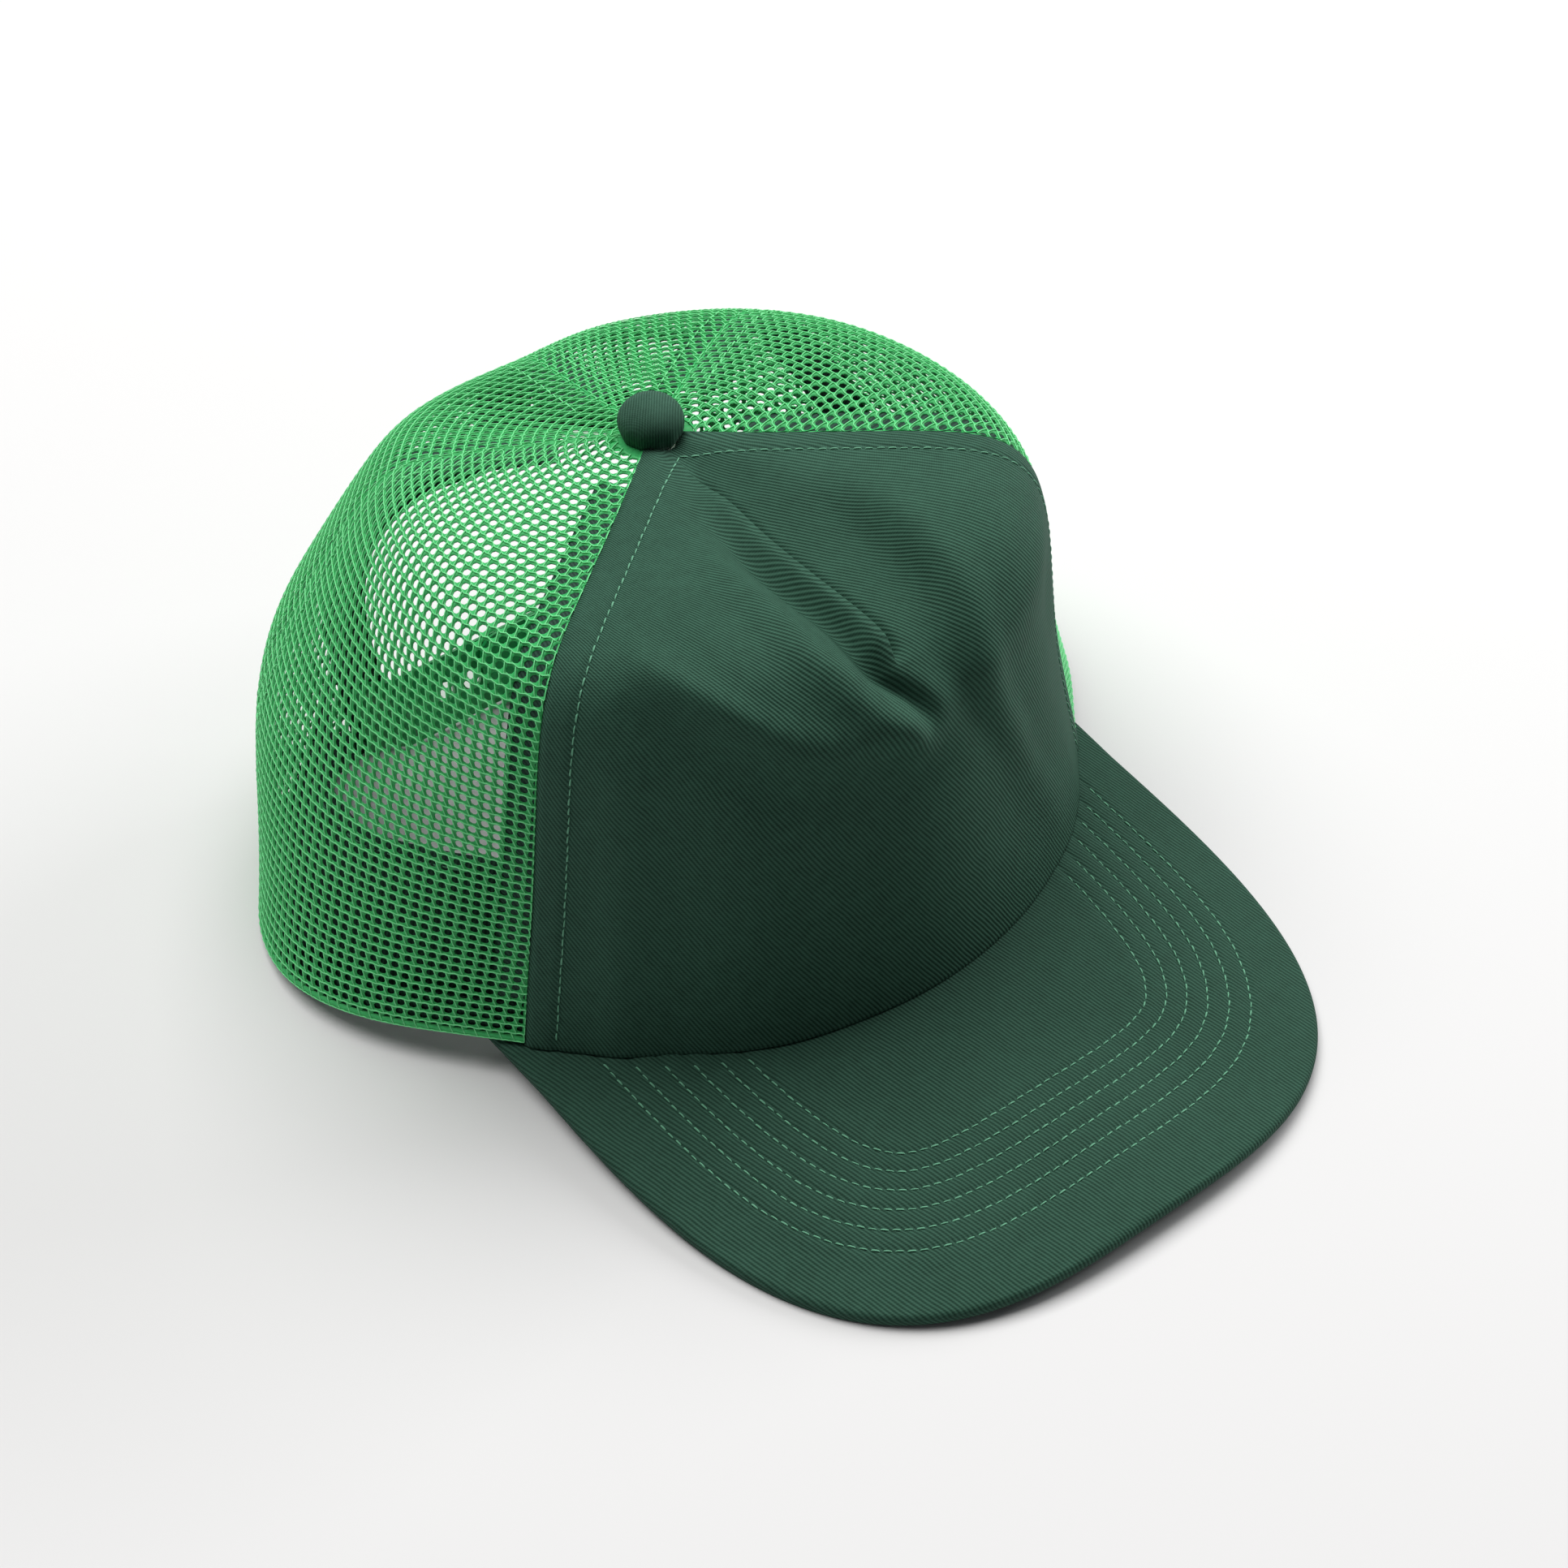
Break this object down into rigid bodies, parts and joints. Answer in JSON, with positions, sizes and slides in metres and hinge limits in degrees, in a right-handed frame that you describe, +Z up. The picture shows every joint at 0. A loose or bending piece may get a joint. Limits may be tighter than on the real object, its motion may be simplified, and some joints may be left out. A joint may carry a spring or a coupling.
{
  "type": "trucker mesh cap",
  "caption": "Adjustable trucker cap with a flat stitched brim, a twill front panel, open-mesh side and back panels, a covered top button and a snap strap across the rear opening.",
  "frame": {"origin": "on the floor plane z = 0, under the centre of the top button, on the cap's mirror plane", "axes": "+Z up through the button, -Y forwards along the brim, +X to the wearer's left"},
  "size_m": [0.2244, 0.2525, 0.115],
  "materials": {
    "twill": "dark green cotton twill",
    "mesh": "kelly green knitted polyester mesh",
    "lining": "dark green cotton tape",
    "strap": "smooth green moulded plastic",
    "board": "white board",
    "button_metal": "plated steel"
  },
  "bodies": {
    "cap": {"front_panel": "twill", "mesh_side_left": "mesh", "mesh_side_right": "mesh", "mesh_back_left": "mesh", "mesh_back_right": "mesh", "seam_tape_front_left": "lining", "seam_tape_front_right": "lining", "seam_tape_side_left": "lining", "seam_tape_side_right": "lining", "seam_tape_back": "lining", "opening_binding": "lining", "hem_tape": "lining", "sweatband": "lining", "brim_top_cover": "twill", "brim_under_cover": "twill", "brim_board": "board", "button_cover": "twill", "button_core": "button_metal", "button_prong": "button_metal", "button_washer": "button_metal", "strap_anchor_left": "strap", "strap_anchor_right": "strap"},
    "stud_flap": {"strap_stud_flap": "strap"},
    "hole_flap": {"strap_hole_flap": "strap"}
  },
  "joints": [
    {"name": "hole_flap_swing", "type": "hinge", "parent": "cap", "child": "hole_flap", "pos_m": [-0.043, 0.0458, 0.00099], "axis": [0, 0.3746, 0.9272], "range_deg": [0, 70]},
    {"name": "stud_flap_swing", "type": "hinge", "parent": "cap", "child": "stud_flap", "pos_m": [0.043, 0.04386, 0.00178], "axis": [0, 0.3746, 0.9272], "range_deg": [0, 30]}
  ]
}
